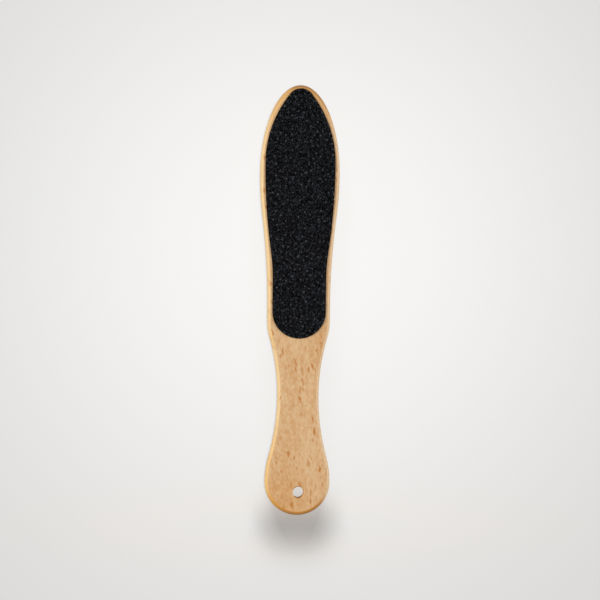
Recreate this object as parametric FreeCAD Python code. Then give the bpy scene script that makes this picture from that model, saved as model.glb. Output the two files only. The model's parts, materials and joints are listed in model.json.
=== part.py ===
# Wooden foot file: a beech paddle with a die-cut abrasive pad glued to each face.
# Each pad is a stack of three layers: an adhesive film, a backing sheet and a coat of grit.
# Units are millimetres. X runs across the paddle, +Y points to its tip and +Z is up.
# The file lies on its fine face, so Z = 0 is the plane of the fine grit's outermost grains,
# and the origin is the middle of the paddle's length and width on that plane.

import FreeCAD
import Part
import math
import os

Vector = FreeCAD.Vector

# Paddle outline: half-widths, and distances measured back from the tip
PADDLE_LENGTH = 260.0
TIP_LENGTH = 53.5
BELLY_HALF_WIDTH = 24.1
NECK_START = 134.0
NECK_END = 142.0
NECK_HALF_WIDTH = 19.0
WAIST_FROM_TIP = 188.0
WAIST_HALF_WIDTH = 12.5
END_RADIUS = 19.65

# Share of each flank's bend that the outward-curving arc takes
BELLY_ARC_SHARE = 0.33
SHOULDER_ARC_SHARE = 0.24
HEEL_ARC_SHARE = 0.3

# Paddle section
BOARD_THICKNESS = 6.5
ROUNDOVER_RADIUS = 2.2

# Hanging hole, drilled a little to the right of the centre line
HOLE_DIAMETER = 6.7
HOLE_FROM_END = 13.8
HOLE_OFFSET = 0.6
HOLE_RIM_CHAMFER = 0.4

# Pad outline: half-widths, and distances measured back from the paddle's tip
PAD_TIP_GAP = 2.2
PAD_TIP_RADIUS = 8.2
PAD_BELLY_FROM_TIP = 47.6
PAD_BELLY_HALF_WIDTH = 21.3
PAD_NECK_START = 117.5
PAD_NECK_HALF_WIDTH = 16.2
PAD_END_FROM_TIP = 153.3
PAD_BELLY_ARC_SHARE = 0.77

# Pad layers, each list from the bottom up
ADHESIVE_THICKNESS = 0.1
BACKING_THICKNESS = 0.4
COARSE_GRIT_THICKNESS = 0.55
FINE_GRIT_THICKNESS = 0.35
FINE_PAD_LAYERS = [
    ("rear_grit_coat", FINE_GRIT_THICKNESS),
    ("rear_backing_sheet", BACKING_THICKNESS),
    ("rear_adhesive_film", ADHESIVE_THICKNESS),
]
COARSE_PAD_LAYERS = [
    ("front_adhesive_film", ADHESIVE_THICKNESS),
    ("front_backing_sheet", BACKING_THICKNESS),
    ("front_grit_coat", COARSE_GRIT_THICKNESS),
]


def from_tip(distance):
    """Y of a station that lies this far back from the paddle's tip."""
    return PADDLE_LENGTH / 2 - distance


def arc_about(centre, start, end):
    """The shorter circular arc from start to end about centre."""
    radius = (start - centre).Length
    towards_middle = (start - centre) + (end - centre)
    middle = centre + towards_middle.normalize() * radius
    return Part.Arc(start, middle, end).toShape()


def flank(start, end, first_share):
    """Two tangent arcs from start to end that leave both points parallel to Y.

    first_share is the first arc's part of the two radii added up."""
    run = end.y - start.y
    step = end.x - start.x
    radii = (run**2 + step**2) / (2 * abs(step))
    inward = Vector(math.copysign(1, step), 0, 0)
    first_centre = start + inward * (radii * first_share)
    second_centre = end - inward * (radii * (1 - first_share))
    join = first_centre + (second_centre - first_centre) * first_share
    return [arc_about(first_centre, start, join), arc_about(second_centre, join, end)]


def end_arc(centre_y, radius):
    """The half circle that closes the handle's end of an outline."""
    right = Vector(radius, centre_y, 0)
    lowest = Vector(0, centre_y - radius, 0)
    left = Vector(-radius, centre_y, 0)
    return Part.Arc(right, lowest, left).toShape()


def closed_face(right_side, across):
    """A flat face from the right side's edges, their mirror image and the edges that cross the axis."""
    left_side = [edge.mirror(Vector(0, 0, 0), Vector(1, 0, 0)) for edge in right_side]
    edges = Part.sortEdges(right_side + left_side + across)[0]
    return Part.Face(Part.Wire(edges))


def paddle_face():
    """Half-elliptical tip, belly, straight neck, waist and round heel."""
    belly = Vector(BELLY_HALF_WIDTH, from_tip(TIP_LENGTH), 0)
    neck_start = Vector(NECK_HALF_WIDTH, from_tip(NECK_START), 0)
    neck_end = Vector(NECK_HALF_WIDTH, from_tip(NECK_END), 0)
    waist = Vector(WAIST_HALF_WIDTH, from_tip(WAIST_FROM_TIP), 0)
    heel = Vector(END_RADIUS, from_tip(PADDLE_LENGTH - END_RADIUS), 0)

    tip_point = Vector(0, from_tip(0), 0)
    tip_ellipse = Part.Ellipse(tip_point, belly, Vector(0, belly.y, 0))
    tip_curve = Part.ArcOfEllipse(tip_ellipse, -math.pi / 2, math.pi / 2).toShape()

    right_side = flank(belly, neck_start, BELLY_ARC_SHARE)
    right_side.append(Part.LineSegment(neck_start, neck_end).toShape())
    right_side += flank(neck_end, waist, SHOULDER_ARC_SHARE)
    right_side += flank(waist, heel, 1 - HEEL_ARC_SHARE)
    return closed_face(right_side, [tip_curve, end_arc(heel.y, END_RADIUS)])


def pad_face():
    """Pointed arch over a rounded tip, belly, straight neck and half-round end."""
    belly = Vector(PAD_BELLY_HALF_WIDTH, from_tip(PAD_BELLY_FROM_TIP), 0)
    neck_start = Vector(PAD_NECK_HALF_WIDTH, from_tip(PAD_NECK_START), 0)
    neck_end = Vector(PAD_NECK_HALF_WIDTH, from_tip(PAD_END_FROM_TIP - PAD_NECK_HALF_WIDTH), 0)

    tip_point = Vector(0, from_tip(PAD_TIP_GAP), 0)
    tip_centre = tip_point - Vector(0, PAD_TIP_RADIUS, 0)
    rise = tip_centre.y - belly.y
    spread = belly.x - PAD_TIP_RADIUS
    arch_radius = (belly.x**2 + rise**2 - PAD_TIP_RADIUS**2) / (2 * spread)
    arch_centre = belly - Vector(arch_radius, 0, 0)
    outward = (tip_centre - arch_centre).normalize()
    arch_top = tip_centre + outward * PAD_TIP_RADIUS
    mirrored_top = Vector(-arch_top.x, arch_top.y, 0)
    tip_curve = Part.Arc(arch_top, tip_point, mirrored_top).toShape()

    right_side = [arc_about(arch_centre, arch_top, belly)]
    right_side += flank(belly, neck_start, PAD_BELLY_ARC_SHARE)
    right_side.append(Part.LineSegment(neck_start, neck_end).toShape())
    return closed_face(right_side, [tip_curve, end_arc(neck_end.y, PAD_NECK_HALF_WIDTH)])


def slab(face, bottom, thickness):
    """A plate of the face's outline, standing on the height bottom."""
    plate = face.extrude(Vector(0, 0, thickness))
    plate.translate(Vector(0, 0, bottom))
    return plate


def rim_edges(shape, height):
    """The edges of shape that lie in the level plane at this height."""
    tolerance = 1e-6

    def is_level(edge):
        return abs(edge.BoundBox.ZMin - height) < tolerance and abs(edge.BoundBox.ZMax - height) < tolerance

    return [edge for edge in shape.Edges if is_level(edge)]


def paddle_board(bottom):
    """Board with routed edges, bored through the handle's end."""
    top = bottom + BOARD_THICKNESS
    board = slab(paddle_face(), bottom, BOARD_THICKNESS)
    board = board.makeFillet(ROUNDOVER_RADIUS, rim_edges(board, bottom) + rim_edges(board, top))

    hole_radius = HOLE_DIAMETER / 2
    hole_base = Vector(HOLE_OFFSET, HOLE_FROM_END - PADDLE_LENGTH / 2, bottom)
    board = board.cut(Part.makeCylinder(hole_radius, BOARD_THICKNESS, hole_base))
    flared_radius = hole_radius + HOLE_RIM_CHAMFER
    lower_flare = Part.makeCone(flared_radius, hole_radius, HOLE_RIM_CHAMFER, hole_base)
    upper_base = hole_base + Vector(0, 0, BOARD_THICKNESS - HOLE_RIM_CHAMFER)
    upper_flare = Part.makeCone(hole_radius, flared_radius, HOLE_RIM_CHAMFER, upper_base)
    return board.cut([lower_flare, upper_flare])


def pad(layers, bottom):
    """A pad's layers as named solids, one standing on the other, and the height of the pad's top."""
    solids = {}
    for name, thickness in layers:
        solids[name] = slab(pad_face(), bottom, thickness)
        bottom += thickness
    return solids, bottom


fine_pad, board_bottom = pad(FINE_PAD_LAYERS, 0.0)
coarse_pad, file_top = pad(COARSE_PAD_LAYERS, board_bottom + BOARD_THICKNESS)
foot_file = {**fine_pad, "paddle_board": paddle_board(board_bottom), **coarse_pad}

os.makedirs("parts", exist_ok=True)
for node, solid in foot_file.items():
    solid.exportStep(f"parts/{node}.step")
    box = solid.optimalBoundingBox(False, False)
    print(f"{node}: valid {solid.isValid()}, {solid.Volume:.0f} mm3, "
          f"{box.XLength:.2f} x {box.YLength:.2f} x {box.ZLength:.2f} mm from Z {box.ZMin:.2f}")
print(f"whole file: {PADDLE_LENGTH:.1f} mm long, {2 * BELLY_HALF_WIDTH:.1f} mm wide, {file_top:.2f} mm thick")
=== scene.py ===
# Foot file: a beech paddle with an abrasive pad on each face, lying on a pale floor.
# Lengths are in metres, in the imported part's own frame: +X across, +Y to the tip, +Z up.
import json
import math

import bpy
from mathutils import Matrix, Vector

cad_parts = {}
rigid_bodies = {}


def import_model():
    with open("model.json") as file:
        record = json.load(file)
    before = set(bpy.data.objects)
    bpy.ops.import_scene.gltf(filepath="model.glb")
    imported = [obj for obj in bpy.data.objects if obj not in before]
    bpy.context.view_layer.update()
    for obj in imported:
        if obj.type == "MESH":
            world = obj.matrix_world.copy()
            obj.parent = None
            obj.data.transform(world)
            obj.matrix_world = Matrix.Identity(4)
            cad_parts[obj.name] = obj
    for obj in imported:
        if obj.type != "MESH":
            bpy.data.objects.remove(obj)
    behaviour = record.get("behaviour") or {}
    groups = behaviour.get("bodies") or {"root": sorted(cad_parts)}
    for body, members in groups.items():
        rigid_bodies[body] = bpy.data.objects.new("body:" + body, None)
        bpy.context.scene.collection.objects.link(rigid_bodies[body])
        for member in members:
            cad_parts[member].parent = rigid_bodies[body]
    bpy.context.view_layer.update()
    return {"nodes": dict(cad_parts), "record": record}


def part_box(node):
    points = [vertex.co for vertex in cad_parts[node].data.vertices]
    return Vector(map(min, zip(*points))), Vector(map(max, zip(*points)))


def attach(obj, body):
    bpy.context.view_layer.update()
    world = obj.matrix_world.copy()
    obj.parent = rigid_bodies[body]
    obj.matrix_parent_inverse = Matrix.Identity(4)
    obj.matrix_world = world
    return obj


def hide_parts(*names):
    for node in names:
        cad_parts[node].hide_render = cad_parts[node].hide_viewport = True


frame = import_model()


# Paddle board
# Sawn from one beech board, with the grain a few degrees off its length. Both faces' edges are
# routed round, the handle's end is drilled for hanging, and the wood is sanded and lacquered.
MM = 0.001
board_low, board_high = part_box("paddle_board")
board_thickness = board_high.z - board_low.z
paddle_length = 260.0 * MM
tip_y = board_high.y
tip_length = 53.5 * MM
belly_half_width = 24.1 * MM
neck_half_width = 19.0 * MM
neck_start_y = tip_y - 134.0 * MM
neck_end_y = tip_y - 142.0 * MM
waist_half_width = 12.5 * MM
waist_y = tip_y - 188.0 * MM
heel_radius = 19.65 * MM
heel_y = tip_y - paddle_length + heel_radius
roundover = 2.2 * MM
step_length = 0.8 * MM

# Share of each flank's bend that its first arc takes
belly_share = 0.33
shoulder_share = 0.24
waist_share = 0.7


def turned(spoke, angle):
    """A flat vector turned clockwise, which is the way that angle_signed counts."""
    return Vector((spoke.x * math.cos(angle) + spoke.y * math.sin(angle),
                   spoke.y * math.cos(angle) - spoke.x * math.sin(angle)))


def arc(centre, start, end):
    """Points along the shorter arc about centre, from start up to but not at end."""
    spoke = start - centre
    turn = spoke.angle_signed(end - centre)
    steps = max(2, round(abs(turn) * spoke.length / step_length))
    return [centre + turned(spoke, turn * i / steps) for i in range(steps)]


def flank(start, end, first_share):
    """Points along two tangent arcs that leave start and reach end parallel to Y."""
    run, step = end.y - start.y, end.x - start.x
    radii = (run**2 + step**2) / (2 * abs(step))
    inward = Vector((math.copysign(1, step), 0))
    first_centre = start + inward * radii * first_share
    second_centre = end - inward * radii * (1 - first_share)
    join = first_centre.lerp(second_centre, first_share)
    return arc(first_centre, start, join) + arc(second_centre, join, end)


def both_sides(right_side):
    """A closed outline from its right side, whose first and last points lie on the axis."""
    left_side = [Vector((-point.x, point.y)) for point in right_side]
    return left_side + right_side[-2:0:-1]


def paddle_outline():
    """Half-elliptical tip, belly, straight neck, waist and round heel."""
    belly = Vector((belly_half_width, tip_y - tip_length))
    neck_start = Vector((neck_half_width, neck_start_y))
    neck_end = Vector((neck_half_width, neck_end_y))
    waist = Vector((waist_half_width, waist_y))
    heel = Vector((heel_radius, heel_y))
    end = Vector((0, heel_y - heel_radius))
    tip_steps = 90
    quarter = [math.pi / 2 * i / tip_steps for i in range(tip_steps)]
    right_side = [Vector((belly.x * math.sin(a), belly.y + tip_length * math.cos(a))) for a in quarter]
    right_side += flank(belly, neck_start, belly_share)
    right_side += flank(neck_end, waist, shoulder_share)
    right_side += flank(waist, heel, waist_share)
    return both_sides(right_side + arc(Vector((0, heel_y)), heel, end) + [end])


def plate(name, outline, bottom, thickness):
    """A flat plate of this outline, with its lower face at the height bottom."""
    bpy.ops.object.select_all(action="DESELECT")
    bpy.ops.mesh.primitive_circle_add(vertices=len(outline), fill_type="NGON")
    made = bpy.context.object
    made.name = made.data.name = name
    for vertex, point in zip(made.data.vertices, outline):
        vertex.co = (point.x, point.y, bottom)
    bpy.ops.object.mode_set(mode="EDIT")
    bpy.ops.mesh.select_all(action="SELECT")
    bpy.ops.mesh.extrude_region_move(TRANSFORM_OT_translate={"value": (0, 0, thickness)})
    bpy.ops.mesh.select_all(action="SELECT")
    bpy.ops.mesh.normals_make_consistent(inside=False)
    bpy.ops.object.mode_set(mode="OBJECT")
    return made


def select(made, kind, wanted):
    """Leaves the object in edit mode with just the corners, edges or faces that wanted() picks."""
    bpy.ops.object.mode_set(mode="EDIT")
    bpy.ops.mesh.select_mode(type=kind)
    bpy.ops.mesh.select_all(action="DESELECT")
    bpy.ops.object.mode_set(mode="OBJECT")
    items = {"VERT": made.data.vertices, "EDGE": made.data.edges, "FACE": made.data.polygons}[kind]
    for item in items:
        item.select = wanted(item)
    bpy.ops.object.mode_set(mode="EDIT")


board = plate("beech_paddle", paddle_outline(), board_low.z, board_thickness)


def borders_a_face(edge):
    """Tells the level edges, which border the two faces, from the upright ones."""
    first, second = [board.data.vertices[i].co.z for i in edge.vertices]
    return abs(first - second) < board_thickness / 2


# The round-over, and a narrow border inside it that keeps the faces flat
flat_border = 0.4 * MM
select(board, "EDGE", borders_a_face)
bpy.ops.mesh.bevel(offset=roundover, offset_type="OFFSET", segments=8, profile=0.5)
select(board, "FACE", lambda face: abs(face.normal.z) > 0.999)
bpy.ops.mesh.inset(thickness=flat_border)
bpy.ops.object.mode_set(mode="OBJECT")

# The drill, with a countersink at each face that runs a little past it, so that the cut is clean
hole = next(mount for mount in frame["record"]["mounts"] if mount["name"] == "hanging_hole")
hole_centre = Vector(hole["pos_m"])
hole_radius = hole["dims"]["r_mm"] * MM
hole_straight = hole["dims"]["length_mm"] * MM
run_past = 0.3 * MM
sink_depth = (board_thickness - hole_straight) / 2 + run_past
spread = 1 + sink_depth / hole_radius
bpy.ops.object.select_all(action="DESELECT")
bpy.ops.mesh.primitive_cylinder_add(vertices=96, radius=hole_radius, depth=hole_straight,
                                    location=hole_centre)
drill = bpy.context.object
for up in (1, -1):
    select(drill, "FACE", lambda face: face.normal.z * up > 0.9)
    bpy.ops.mesh.extrude_region_move(TRANSFORM_OT_translate={"value": (0, 0, up * sink_depth)})
    bpy.ops.transform.resize(value=(spread, spread, 1), center_override=hole_centre)
    bpy.ops.object.mode_set(mode="OBJECT")


def make_active(made):
    """Selects one object alone, so that the next operator acts on it."""
    bpy.ops.object.select_all(action="DESELECT")
    made.select_set(True)
    bpy.context.view_layer.objects.active = made


make_active(board)
bored = board.modifiers.new("hanging hole", "BOOLEAN")
bored.object = drill
bpy.ops.object.modifier_apply(modifier=bored.name)
bpy.data.objects.remove(drill)
bpy.ops.object.shade_smooth_by_angle(angle=math.radians(30))


class Wire:
    """One output of a shader node. Arithmetic on it adds Math nodes to the same material."""

    def __init__(self, socket):
        self.socket = socket

    def node(self, kind, settings, inputs, output=0):
        """Adds a node of any kind: its settings first, then the values or wires of its inputs."""
        tree = self.socket.id_data
        made = tree.nodes.new(kind)
        for name, value in settings.items():
            setattr(made, name, value)
        for name, value in inputs.items():
            if isinstance(value, Wire):
                tree.links.new(value.socket, made.inputs[name])
            else:
                made.inputs[name].default_value = value
        return Wire(made.outputs[output])

    def output(self, name):
        """Another output of the same node."""
        return Wire(self.socket.node.outputs[name])

    def into(self, shader, name):
        """Joins this output to a shader's input."""
        self.socket.id_data.links.new(self.socket, shader.inputs[name])

    def math(self, operation, first, second=0.0):
        return self.node("ShaderNodeMath", {"operation": operation}, {0: first, 1: second})

    def vector(self, operation, other, output=0):
        return self.node("ShaderNodeVectorMath", {"operation": operation}, {0: self, 1: other}, output)

    def times(self, factors):
        """A vector or colour with each of its three parts scaled."""
        return self.vector("MULTIPLY", factors)

    def length(self):
        return self.vector("LENGTH", (0, 0, 0), "Value")

    def distance(self, point):
        return self.vector("DISTANCE", point, "Value")

    def along(self, direction):
        """How far a vector reaches in this direction."""
        return self.vector("DOT_PRODUCT", direction, "Value")

    def ramp(self, low, high, to_low=0.0, to_high=1.0):
        """A smooth step from to_low, at low, to to_high, at high."""
        return self.node("ShaderNodeMapRange", {"interpolation_type": "SMOOTHSTEP"},
                         {"Value": self, "From Min": low, "From Max": high,
                          "To Min": to_low, "To Max": to_high})

    def tint(self, first, second):
        """The colour first, with second over it by this share."""
        return self.node("ShaderNodeMix", {"data_type": "RGBA"}, {0: self, 6: first, 7: second}, 2)

    def __add__(self, other):
        return self.math("ADD", self, other)

    def __sub__(self, other):
        return self.math("SUBTRACT", self, other)

    def __rsub__(self, other):
        return self.math("SUBTRACT", other, self)

    def __mul__(self, other):
        return self.math("MULTIPLY", self, other)

    def __gt__(self, other):
        return self.math("GREATER_THAN", self, other)

    def __abs__(self):
        return self.math("ABSOLUTE", self)

    __radd__ = __add__
    __rmul__ = __mul__


def new_material(name):
    """A material, its shader, and a wire with the piece's own coordinates in millimetres."""
    material = bpy.data.materials.new(name)
    material.use_nodes = True
    tree = material.node_tree
    place = Wire(tree.nodes.new("ShaderNodeTexCoord").outputs["Object"])
    return material, tree.nodes["Principled BSDF"], place.times((1 / MM,) * 3)


def noise(place, per_mm, detail=2.0, roughness=0.5):
    """Soft noise from 0 to 1, with this many bumps to the millimetre along X, Y and Z."""
    return place.node("ShaderNodeTexNoise", {"noise_dimensions": "3D"},
                      {"Vector": place.times(per_mm), "Scale": 1.0,
                       "Detail": detail, "Roughness": roughness})


def rays(grain, cell, half_size, share):
    """Wood rays, one spindle to a cell, in this share of the cells.

    The cells and the spindles are sized in mm across, along and through the board."""
    cells = grain.vector("DIVIDE", cell)
    nearest = cells.node("ShaderNodeTexVoronoi", {"voronoi_dimensions": "3D", "feature": "F1"},
                         {"Vector": cells, "Scale": 1.0, "Randomness": 1.0})
    lot = nearest.node("ShaderNodeSeparateColor", {}, {"Color": nearest.output("Color")})
    slimmer = 0.75 + lot.output("Green") * 0.8
    reach = [c / h for c, h in zip(cell, half_size)]
    away = cells.vector("SUBTRACT", nearest.output("Position")).times(reach)
    spindle = (away.length() * slimmer).ramp(1.0, 0.4)
    return spindle * lot.ramp(share, share * 0.4)


# The fibres slope across the board, wander in long waves and ripple in short ones
beech, shader, place = new_material("lacquered beech")
grain_slope = math.radians(-9)
wander_mm = 7.0
ripple_mm = 2.8
grain = place.node("ShaderNodeMapping", {"vector_type": "POINT"},
                   {"Vector": place, "Rotation": (0, 0, grain_slope)})
wander = noise(grain, (0.03, 0.014, 0.03), 1.0) - 0.5
ripple = noise(grain, (0.4, 0.3, 0.4), 1.0) - 0.5
sideways = wander.node("ShaderNodeCombineXYZ", {}, {"X": wander * wander_mm + ripple * ripple_mm})
grain = grain.vector("ADD", sideways)

# Growth rings about a pith that lies under the board, cut nearly flat by the faces
pith = (14.0, 0.0, -46.0)
rings_per_mm = 0.42
from_pith = grain.vector("SUBTRACT", pith).times((1.0, 0.02, 1.0)).length()
ring = from_pith * rings_per_mm + noise(grain, (0.06, 0.01, 0.06)) * 0.7
late_wood = ring.math("FRACT", ring).ramp(0.45, 1.0)
patches = noise(grain, (0.07, 0.02, 0.07), 1.0)
mottle = noise(grain, (0.75, 0.42, 0.75), 2.0, 0.6)
streaks = noise(grain, (2.6, 0.09, 2.6), 3.0, 0.6)
pores = noise(grain, (9.0, 0.55, 9.0), 2.0, 0.6).ramp(0.58, 0.74)
bold_rays = rays(grain, cell=(3.0, 6.2, 30.0), half_size=(0.84, 3.0, 14.0), share=0.8)
fine_rays = rays(grain, cell=(1.5, 3.4, 14.0), half_size=(0.36, 1.15, 6.0), share=0.8)

light_beech = (0.768, 0.522, 0.292, 1)
warm_beech = (0.632, 0.347, 0.142, 1)
ray_brown = (0.52, 0.205, 0.045, 1)
tone = patches * 0.35 + mottle * 0.8 + streaks * 0.3
colour = tone.ramp(0.48, 0.99).tint(light_beech, warm_beech)
colour = (late_wood * 0.12).tint(colour, ray_brown)
colour = (pores * 0.20).tint(colour, ray_brown)

# The heart side of the heel is a shade darker
heart_side = place.distance((-12.0, -123.0, 4.0)).ramp(31.0, 8.0)
colour = heart_side.tint(colour, colour.times((0.96, 0.86, 0.73)))

# The routed edge by the way it faces: paler along the sides, where the cutter ran with the fibres.
# Part of that paleness is painted highlight from the side light, yellow on the left, the lit side.
edge_yellow_and_highlight = (0.88, 0.615, 0.30, 1)
edge_amber = (0.85, 0.525, 0.195, 1)
edge_pale_and_highlight = (0.93, 0.65, 0.38, 1)
normal = Wire(beech.node_tree.nodes.new("ShaderNodeTexCoord").outputs["Normal"])
low_down = place.along((0, 1, 0)).ramp(-68.0, -104.0)
to_right = normal.along((1, 0, 0))
colour = to_right.ramp(0.0, -0.40, 0.0, 0.94).tint(colour, low_down.tint(edge_yellow_and_highlight, edge_amber))
colour = to_right.ramp(0.08, 0.62, 0.0, 0.95).tint(colour, edge_pale_and_highlight)
level_normal = normal.times((1, 1, 0))
tilt = level_normal.length()
calm = 1 - tilt.ramp(0.0, 0.7, 0.0, 0.8)
colour = (fine_rays * calm * 0.36).tint(colour, ray_brown)
colour = (bold_rays * calm * 0.95).tint(colour, ray_brown)

# Cut across its fibres the wood takes up more lacquer: orange at the corners, brown at both ends, in part
# painted shade.
end_grain_orange = (0.708, 0.345, 0.07, 1)
tip_orange = (0.75, 0.41, 0.13, 1)
painted_light_gold = (0.85, 0.50, 0.205, 1)
end_brown = (0.545, 0.235, 0.05, 1)
tip_brown_and_shade = (0.51, 0.25, 0.085, 1)
facing = level_normal.vector("NORMALIZE", (0, 0, 0))
to_tip = facing.along((0, 1, 0))
to_left_end = facing.along((-0.2, -0.98, 0))
to_right_end = facing.along((0.17, -0.985, 0))
end_grain = tilt.ramp(0.0, 0.18)
colour = (to_left_end.ramp(0.35, 0.8) * end_grain).tint(colour, end_grain_orange)

# Orange towards the tip, with painted light in gold on the flat close by it, lifting the pad's shade there
from_tip = place.distance((0, tip_y / MM, 4.0))
near_tip = from_tip.ramp(44.0, 12.0)
at_tip = near_tip.math("MAXIMUM", near_tip * 0.8, to_tip.ramp(0.35, 0.8) * end_grain)
flat_by_tip = from_tip.ramp(8.0, 15.0) * tilt.ramp(0.5, 0.05)
colour = at_tip.tint(colour, flat_by_tip.tint(tip_orange, painted_light_gold))
# Painted shade on the right of the tip, the side away from the light
shade_right_of_tip = place.distance((10.0, tip_y / MM - 2.0, 4.0)).ramp(21.0, 7.0)
shade_right_of_tip = shade_right_of_tip * tilt.ramp(0.0, 0.35, 0.4, 1.0)
colour = shade_right_of_tip.tint(colour, colour.times((0.81, 0.735, 0.67)))
# Brown at the tip's rim and at the right of the handle's end: end grain, and partly painted shade
colour = (to_tip.ramp(0.8, 0.97) * tilt.ramp(0.0, 0.4)).tint(colour, tip_brown_and_shade)
colour = (to_right_end.ramp(0.45, 0.92) * tilt.ramp(0.0, 0.28)).tint(colour, end_brown)

# Fibres and growth rings show as fine lines along the sides, and as dots and arcs at the ends
lines = streaks.ramp(0.35, 0.7) * 0.6 + late_wood * 0.4
early_wood_tone = colour.times((1.04, 1.07, 1.11))
late_wood_tone = colour.times((0.92, 0.84, 0.74))
colour = tilt.ramp(0.3, 0.9).tint(colour, lines.tint(early_wood_tone, late_wood_tone))

# The bore is end grain on two sides, and darker where the lacquer gathers
hole_spot = (*hole_centre.xy / MM, 0)
from_hole = place.times((1, 1, 0)).distance(hole_spot)
in_hole = from_hole.ramp(hole_radius / MM + 0.5, hole_radius / MM)
colour = (in_hole * 0.4).tint(colour, end_brown)
colour.into(shader, "Base Color")

roughness = 0.40 + streaks * 0.12 + pores * 0.15 + tilt * 0.1
roughness.into(shader, "Roughness")
relief = streaks * 0.5 - pores - bold_rays * 0.5
bump = relief.node("ShaderNodeBump", {}, {"Height": relief, "Strength": 0.35, "Distance": 0.03 * MM})
bump.into(shader, "Normal")
shader.inputs["Specular IOR Level"].default_value = 0.4
board.data.materials.append(beech)
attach(board, "root")
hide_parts("paddle_board")


# Adhesive films
# A thin pressure-sensitive film under each pad, as the sheet comes from its roll. It shows only
# as a honey-coloured line between paper and wood.
honey = (0.42, 0.30, 0.14, 1)
dark_honey = (0.20, 0.14, 0.07, 1)
adhesive, shader, place = new_material("pressed adhesive")
smears = noise(place, (0.5, 0.5, 4.0), 3.0)
smears.ramp(0.3, 0.75).tint(honey, dark_honey).into(shader, "Base Color")
smears.ramp(0.2, 0.8, 0.25, 0.55).into(shader, "Roughness")


def finish_node(node, material):
    """Gives a node that keeps its own solid this material alone."""
    materials = frame["nodes"][node].data.materials
    materials.clear()
    materials.append(material)


finish_node("front_adhesive_film", adhesive)
finish_node("rear_adhesive_film", adhesive)


# Backing sheets
# Heavy resin-sized paper, dyed dark and cut with a die, so the edge shows its pressed fibres.
# It is glued to the wood by its adhesive film and carries the grit.
dyed_black = (0.016, 0.015, 0.015, 1)
dyed_grey = (0.055, 0.050, 0.045, 1)
paper, shader, place = new_material("dyed backing paper")
fibres = noise(place, (3.0, 3.0, 14.0), 4.0, 0.65)
fibres.ramp(0.3, 0.75).tint(dyed_black, dyed_grey).into(shader, "Base Color")
fibres.ramp(0.3, 0.8, 0.75, 0.95).into(shader, "Roughness")
bump = fibres.node("ShaderNodeBump", {}, {"Height": fibres, "Strength": 0.5, "Distance": 0.04 * MM})
bump.into(shader, "Normal")
finish_node("front_backing_sheet", paper)
finish_node("rear_backing_sheet", paper)


# Grit coats
# Crushed black crystals stand in a coat of dark resin on each backing sheet, coarse in front and
# fine at the back. They are sown over the wet resin, and the sheet is cut with its die afterwards.
pad_tip_y = tip_y - 2.2 * MM
pad_tip_radius = 8.2 * MM
pad_belly = Vector((21.3 * MM, tip_y - 47.6 * MM))
pad_neck_start = Vector((16.2 * MM, tip_y - 117.5 * MM))
pad_end = Vector((0, tip_y - 153.3 * MM))
pad_belly_share = 0.77


def pad_outline():
    """Pointed arch over a rounded tip, belly, straight neck and half-round end."""
    tip_point = Vector((0, pad_tip_y))
    tip_centre = Vector((0, pad_tip_y - pad_tip_radius))
    rise = tip_centre.y - pad_belly.y
    arch_radius = (pad_belly.x**2 + rise**2 - pad_tip_radius**2) / (2 * (pad_belly.x - pad_tip_radius))
    arch_centre = pad_belly - Vector((arch_radius, 0))
    arch_top = tip_centre + (tip_centre - arch_centre).normalized() * pad_tip_radius
    end_centre = pad_end + Vector((0, pad_neck_start.x))
    neck_end = Vector((pad_neck_start.x, end_centre.y))
    right_side = arc(tip_centre, tip_point, arch_top) + arc(arch_centre, arch_top, pad_belly)
    right_side += flank(pad_belly, pad_neck_start, pad_belly_share)
    return both_sides(right_side + [pad_neck_start] + arc(end_centre, neck_end, pad_end) + [pad_end])


def crystal(family, sides, top_radius, slide, cut=None):
    """A broken crystal about one unit across, in the collection family.

    It is a skewed block, with one corner struck off where cut gives a plane's point and normal."""
    bpy.ops.object.select_all(action="DESELECT")
    bpy.ops.mesh.primitive_cone_add(vertices=sides, radius1=0.6, radius2=top_radius, depth=0.9)
    made = bpy.context.object
    select(made, "VERT", lambda corner: corner.co.z > 0)
    bpy.ops.transform.translate(value=(*slide, 0))
    if cut:
        bpy.ops.mesh.select_all(action="SELECT")
        bpy.ops.mesh.bisect(plane_co=cut[0], plane_no=cut[1], use_fill=True, clear_outer=True)
    bpy.ops.object.mode_set(mode="OBJECT")

    # Each corner's spot on a flat map of the crystal, seen from above and a little aslant
    chip_map = made.data.attributes.new("chip_map", "FLOAT_VECTOR", "POINT")
    for vertex, spot in zip(made.data.vertices, chip_map.data):
        x, y, z = vertex.co
        spot.vector = (0.5 + x * 0.4 + z * 0.25, 0.5 + y * 0.4 + z * 0.15, 0)
    bpy.context.collection.objects.unlink(made)
    family.objects.link(made)


coarse_crystals = bpy.data.collections.new("coarse crystals")
crystal(coarse_crystals, sides=5, top_radius=0.42, slide=(0.16, 0.06),
        cut=((0.35, 0, 0.2), (0.8, 0.2, 0.6)))
crystal(coarse_crystals, sides=4, top_radius=0.40, slide=(-0.12, 0.15),
        cut=((0, 0.35, 0.15), (-0.2, 0.7, 0.6)))
crystal(coarse_crystals, sides=5, top_radius=0.36, slide=(0.05, -0.2))
fine_crystals = bpy.data.collections.new("fine crystals")
crystal(fine_crystals, sides=3, top_radius=0.0, slide=(0.22, -0.1))
crystal(fine_crystals, sides=3, top_radius=0.0, slide=(-0.3, -0.2))


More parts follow.
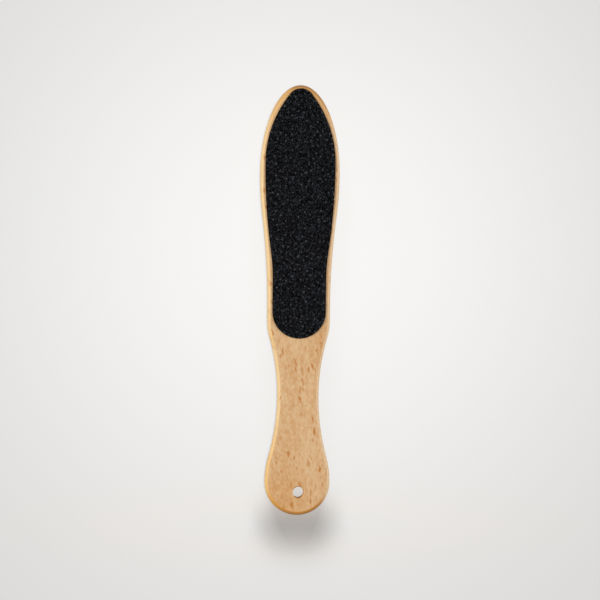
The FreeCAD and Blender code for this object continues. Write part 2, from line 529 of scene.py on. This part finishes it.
def sow(coat, crystals, levels, spacing, smallest, largest, map_cells, seed):
    """Scatters crystals over the coat's flat outer face and presses them to its outer level.

    levels are the heights of the paper, the resin and the outermost tips."""
    paper_level, resin_level, outer_level = levels
    outward = math.copysign(1, outer_level - resin_level)
    tree = bpy.data.node_groups.new("sown " + coat.name, "GeometryNodeTree")
    tree.interface.new_socket("Geometry", in_out="INPUT", socket_type="NodeSocketGeometry")
    tree.interface.new_socket("Geometry", in_out="OUTPUT", socket_type="NodeSocketGeometry")
    resin = Wire(tree.nodes.new("NodeGroupInput").outputs[0])

    def chance(kind, low, high, draw):
        """A random number or vector for each crystal."""
        first = {"FLOAT_VECTOR": 0, "FLOAT": 2}[kind]
        return resin.node("FunctionNodeRandomValue", {"data_type": kind},
                          {first: low, first + 1: high, "Seed": seed + draw}, first // 2)

    def store(geometry, name, kind, domain, value):
        """Writes a value on each part of the geometry, under this name."""
        return geometry.node("GeometryNodeStoreNamedAttribute", {"data_type": kind, "domain": domain},
                             {"Geometry": geometry, "Name": name, "Value": value})

    facing_out = resin.node("GeometryNodeInputNormal", {}, {}).along((0, 0, outward)) > 0.999
    bed = resin.node("GeometryNodeSeparateGeometry", {"domain": "FACE"},
                     {"Geometry": resin, "Selection": facing_out})
    chips = resin.node("GeometryNodeCollectionInfo", {},
                       {"Collection": crystals, "Separate Children": True, "Reset Children": True})

    def strewn(apart, dullest, brightest, draw):
        """Crystals at least this far from each other, with tones in this range."""
        points = bed.node("GeometryNodeDistributePointsOnFaces", {"distribute_method": "POISSON"},
                          {"Mesh": bed, "Distance Min": apart, "Density Max": 8 / apart**2,
                           "Seed": seed + draw})
        turn = chance("FLOAT_VECTOR", (0, 0, 0), (2 * math.pi,) * 3, draw + 1)
        turn = turn.node("FunctionNodeEulerToRotation", {}, {"Euler": turn})
        size = chance("FLOAT_VECTOR", (smallest,) * 3, (largest,) * 3, draw + 2)
        laid = resin.node("GeometryNodeInstanceOnPoints", {},
                          {"Points": points, "Instance": chips, "Pick Instance": True,
                           "Rotation": turn, "Scale": size})
        tone = chance("FLOAT", dullest, brightest, draw + 3)
        return store(laid, "crystal_tone", "FLOAT", "INSTANCE", tone)

    def together(first, second):
        """Two geometries as one."""
        both = first.node("GeometryNodeJoinGeometry", {}, {"Geometry": first})
        tree.links.new(second.socket, both.socket.node.inputs["Geometry"])
        return both

    # Dull crystals side by side, with bright ones here and there among them, partly painted glints
    dull_chips = strewn(spacing, dullest=0.1, brightest=0.8, draw=0)
    bright_glint_chips = strewn(spacing * 3.2, dullest=0.75, brightest=1.0, draw=10)
    sown = together(dull_chips, bright_glint_chips)

    # A square map, row by row: the first cell is the resin's, and each crystal has one of its own,
    # so that none takes another's colour when the materials are baked
    count = resin.node("GeometryNodeInputIndex", {}, {}) + 1
    row = count.math("FLOOR", count * (1 / map_cells))
    cell = row.node("ShaderNodeCombineXYZ", {}, {"X": count - row * map_cells, "Y": row})
    sown = store(sown, "crystal_cell", "FLOAT_VECTOR", "INSTANCE", cell)
    sown = sown.node("GeometryNodeRealizeInstances", {}, {"Geometry": sown})

    # No tip stands past the outer level, and none comes through the paper
    reach, squeeze = 1.06, 1.7
    here = resin.node("GeometryNodeInputPosition", {}, {})
    axes = here.node("ShaderNodeSeparateXYZ", {}, {"Vector": here})
    depth = outer_level - paper_level
    rise = (axes.output("Z") - paper_level) * (1 / depth)
    share = reach - rise.math("EXPONENT", rise * -squeeze) * reach
    share = share.node("ShaderNodeClamp", {}, {"Value": share, "Min": 0.0, "Max": 1.0})
    pressed = axes.node("ShaderNodeCombineXYZ", {},
                        {"X": axes, "Y": axes.output("Y"), "Z": share * depth + paper_level})
    sown = sown.node("GeometryNodeSetPosition", {}, {"Geometry": sown, "Position": pressed})

    def mapped(geometry, cell, spot):
        """Lays a piece out in its cell, by spot, which runs from 0 to 1, with a margin all round."""
        filled, margin = 0.8, 0.1
        flat = spot.times((filled, filled, 0)).vector("ADD", (margin, margin, 0)).vector("ADD", cell)
        flat = flat.vector("DIVIDE", (map_cells, map_cells, 1))
        return store(geometry, "OFBake", "FLOAT2", "CORNER", flat)

    def stored(name):
        """A vector that each crystal carries."""
        return resin.node("GeometryNodeInputNamedAttribute", {"data_type": "FLOAT_VECTOR"}, {"Name": name})

    pad_length = pad_tip_y - pad_end.y
    from_above = here.times((1 / pad_length, 1 / pad_length, 0))
    from_above = from_above.vector("ADD", (0.5, -pad_end.y / pad_length, 0))
    sown = mapped(sown, stored("crystal_cell"), stored("chip_map"))
    whole = together(sown, mapped(resin, (0, 0, 0), from_above))
    tree.links.new(whole.socket, tree.nodes.new("NodeGroupOutput").inputs[0])

    make_active(coat)
    sowing = coat.modifiers.new("sown crystals", "NODES")
    sowing.node_group = tree
    bpy.ops.object.modifier_apply(modifier=sowing.name)


def grit_material(name):
    """Black crystal with a glassy fracture, each chip in its own tone, over a dull resin; the brightest
    tones are partly painted glints.
    """
    resin_black = (0.0006, 0.0006, 0.0007, 1)
    chip_black = (0.0262, 0.0278, 0.0326, 1)
    chip_bright_glint = (0.067, 0.0715, 0.082, 1)
    material, shader, place = new_material(name)
    tone = place.node("ShaderNodeAttribute", {"attribute_name": "crystal_tone"}, {}, "Fac")
    dull = tone.tint(resin_black, chip_black)
    tone.ramp(0.7, 1.0).tint(dull, chip_bright_glint).into(shader, "Base Color")
    (0.85 - tone * 0.4).into(shader, "Roughness")
    shader.inputs["Specular IOR Level"].default_value = 0.05
    return material


def grit_coat(name, node, crystals, spacing, smallest, largest, map_cells, seed):
    """A resin coat that thins out at its cut edge, with crystals standing in it."""
    resin_share = 0.2
    edge_share = 0.7
    edge_width = 0.6 * MM
    low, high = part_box(node)
    in_front = low.z > board_high.z
    paper_level, outer_level = (low.z, high.z) if in_front else (high.z, low.z)
    resin_level = paper_level + (outer_level - paper_level) * resin_share
    edge_level = paper_level + (outer_level - paper_level) * resin_share * edge_share
    outward = 1 if in_front else -1
    coat = plate(name, pad_outline(), min(paper_level, edge_level), abs(edge_level - paper_level))
    select(coat, "FACE", lambda face: face.normal.z * outward > 0.9)
    bpy.ops.mesh.inset(thickness=edge_width, depth=abs(resin_level - edge_level))
    bpy.ops.object.mode_set(mode="OBJECT")
    levels = (paper_level, resin_level, outer_level)
    sow(coat, crystals, levels, spacing, smallest, largest, map_cells, seed)
    coat.data.materials.clear()
    coat.data.materials.append(grit_material(name.replace("_", " ")))
    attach(coat, "root")
    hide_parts(node)


grit_coat("coarse_grit", "front_grit_coat", coarse_crystals,
          spacing=0.92 * MM, smallest=0.82 * MM, largest=1.3 * MM, map_cells=90, seed=7)
grit_coat("fine_grit", "rear_grit_coat", fine_crystals,
          spacing=0.33 * MM, smallest=0.32 * MM, largest=0.5 * MM, map_cells=190, seed=19)
for chip in [*coarse_crystals.objects, *fine_crystals.objects]:
    bpy.data.objects.remove(chip)


# Floor
# A pale sweep of paper with a painted pool of light, lightest under the paddle's upper half. Much of
# # its brightness is its own glow, with painted shade close under the file. The rest comes from the lamps,
# mostly where the shadow falls.
bpy.ops.object.select_all(action="DESELECT")
bpy.ops.mesh.primitive_circle_add(vertices=128, radius=6.0, fill_type="NGON",
                                  location=(0, 0, -0.02 * MM))
floor = bpy.context.object
floor.name = "floor"


def seen_directly(tree):
    """1 for a ray from the camera or off a glossy or clear surface, 0 for one that only carries light."""
    path = Wire(tree.nodes.new("ShaderNodeLightPath").outputs["Is Camera Ray"])
    mirrored = path.math("MAXIMUM", path.output("Is Glossy Ray"), path.output("Is Transmission Ray"))
    return path.math("MAXIMUM", path, mirrored)


def fading(away):
    """1 where away is 0, fading softly to nothing by about 2."""
    return away.math("EXPONENT", away * away * -1.0)


black = (0, 0, 0, 1)
near_paper = (0.94, 0.932, 0.916, 1)
far_paper = (0.66, 0.654, 0.643, 1)
light_pool_spot = (0, 32.0, 0)
light_pool_reach = 220.0
floor_paper, shader, place = new_material("pale paper")
paper_tone = fading(place.distance(light_pool_spot) * (1 / light_pool_reach)).tint(far_paper, near_paper)

# Painted shadow: the paper is a shade darker left and right of the handle's end, at the shadow's
# shoulders, which lean inwards
shoulder_x, shoulder_y = 16.6, -139.0
shoulder_width, shoulder_length = 7.0, 16.0
shoulder_lean = 0.37
shoulder_depth = 0.075
lower = place.along((0, 1, 0)) - shoulder_y
beside = abs(place.along((1, 0, 0))) - shoulder_x - lower * shoulder_lean
painted_shadow_shoulders = fading(beside * (1 / shoulder_width)) * fading(lower * (1 / shoulder_length))
paper_tone = paper_tone.times(1 - painted_shadow_shoulders * shoulder_depth)

# The share that the lamps light, and the two tones that keep the lit paper neutral and the shadow warm
shadow_spot = (-1.0, -137.7, 0)
shadow_width, shadow_length = 110.0, 16.0
hole_reach = 8.0
from_shadow = place.vector("SUBTRACT", shadow_spot).times((1 / shadow_width, 1 / shadow_length, 0))
near_end = fading(from_shadow.length())
from_hole = place.distance(hole_spot)
# Under the hole the lamps' share is a little larger, a painted shade that darkens the paper seen through
# it
lamplit = 0.10 + near_end * 0.60 + fading(from_hole * (1 / hole_reach)) * 0.06
cool_tone = near_end.tint(paper_tone, paper_tone.times((0.952, 1.005, 1.043)))
warm_tone = near_end.tint(paper_tone, paper_tone.times((1.09, 0.99, 0.915)))
lamplit.tint(black, cool_tone).into(shader, "Base Color")

# Painted shade: where the file covers the paper its glow is darkened by occlusion, but not in the light
# that falls through the hole
cover_reach = 2.0 * MM
under_hole = from_hole.ramp(hole_radius / MM + 1.0, hole_radius / MM)
uncovered = place.node("ShaderNodeAmbientOcclusion", {}, {"Distance": cover_reach}, "AO")
uncovered = uncovered.math("MAXIMUM", uncovered, under_hole)
glow = seen_directly(floor_paper.node_tree) * (1 - lamplit) * uncovered
glow.tint(black, warm_tone).into(shader, "Emission Color")
shader.inputs["Emission Strength"].default_value = 1.0
shader.inputs["Roughness"].default_value = 1.0
shader.inputs["Specular IOR Level"].default_value = 0.0
floor.data.materials.append(floor_paper)


# Light and camera
# Two softboxes light the wood from the sides, the stronger one on the left, under a pale tent.
# Soft lamps far beyond the tip light the paper alone, so the shadow falls past the handle's end.
scene = bpy.context.scene
scene.view_settings.view_transform = "Standard"
scene.world = bpy.data.worlds.new("tent")
scene.world.use_nodes = True
tent = scene.world.node_tree
tent_level = 0.30
tent_grey = (tent_level, tent_level, tent_level, 1)
seen_directly(tent).tint(tent_grey, far_paper).into(tent.nodes["Background"], "Color")


def hang(data, towards, distance, floor_state):
    """Puts a lamp in this direction from the file.

    floor_state says whether it lights the floor alone, INCLUDE, or all but the floor, EXCLUDE."""
    lamp = bpy.data.objects.new(data.name, data)
    lamp.location = towards * distance
    lamp.rotation_euler = towards.to_track_quat("Z", "Y").to_euler()
    lamp.visible_camera = False
    scene.collection.objects.link(lamp)
    linked = bpy.data.collections.new(data.name + " and floor")
    linked.objects.link(floor)
    lamp.light_linking.receiver_collection = linked
    linked.collection_objects[0].light_linking.link_state = floor_state


def softbox(name, side, level):
    """A softbox to one side, which adds level to the brightness of a white face that lies flat."""
    distance = 1.2
    towards = Vector((side, 0.1, 0.65)).normalized()
    data = bpy.data.lights.new(name, "AREA")
    data.shape = "RECTANGLE"
    data.size, data.size_y = 0.35, 0.7
    data.energy = level * math.pi**2 * distance**2 / towards.z
    hang(data, towards, distance, floor_state="EXCLUDE")


softbox("left softbox", side=-1.0, level=0.42)
softbox("right softbox", side=1.0, level=0.28)

# The tip lamps stand low in a fan, and together light a white floor as far as the tent leaves it grey
tip_bearings = (-20, -11, -2, 7, 16)
tip_slope = 0.203
for bearing in tip_bearings:
    tip_lamp = bpy.data.lights.new(f"tip lamp {bearing}", "SUN")
    turn = math.radians(bearing)
    towards = Vector((math.sin(turn), math.cos(turn), tip_slope)).normalized()
    tip_lamp.angle = math.radians(9)
    tip_lamp.energy = (1 - tent_level) * math.pi / towards.z / len(tip_bearings)
    hang(tip_lamp, towards, distance=2.0, floor_state="INCLUDE")

# The camera looks down on the coarse face from a long way off, a few degrees to one side
photo_scale = 0.606 * MM
photo_pixels = 600
lens, sensor = 100.0, 36.0
camera_distance = photo_scale * photo_pixels * lens / sensor
camera_lean = math.radians(-5.0)
camera_roll = math.radians(0.56)
aim = Vector((0.78 * MM, 0, 4.0 * MM))
camera = bpy.data.objects.new("camera", bpy.data.cameras.new("camera"))
camera.data.lens = lens
camera.data.sensor_width = sensor
camera.rotation_euler = (0, camera_lean, camera_roll)
camera.location = aim + camera.rotation_euler.to_matrix() @ Vector((0, 0, camera_distance))
scene.collection.objects.link(camera)
scene.camera = camera
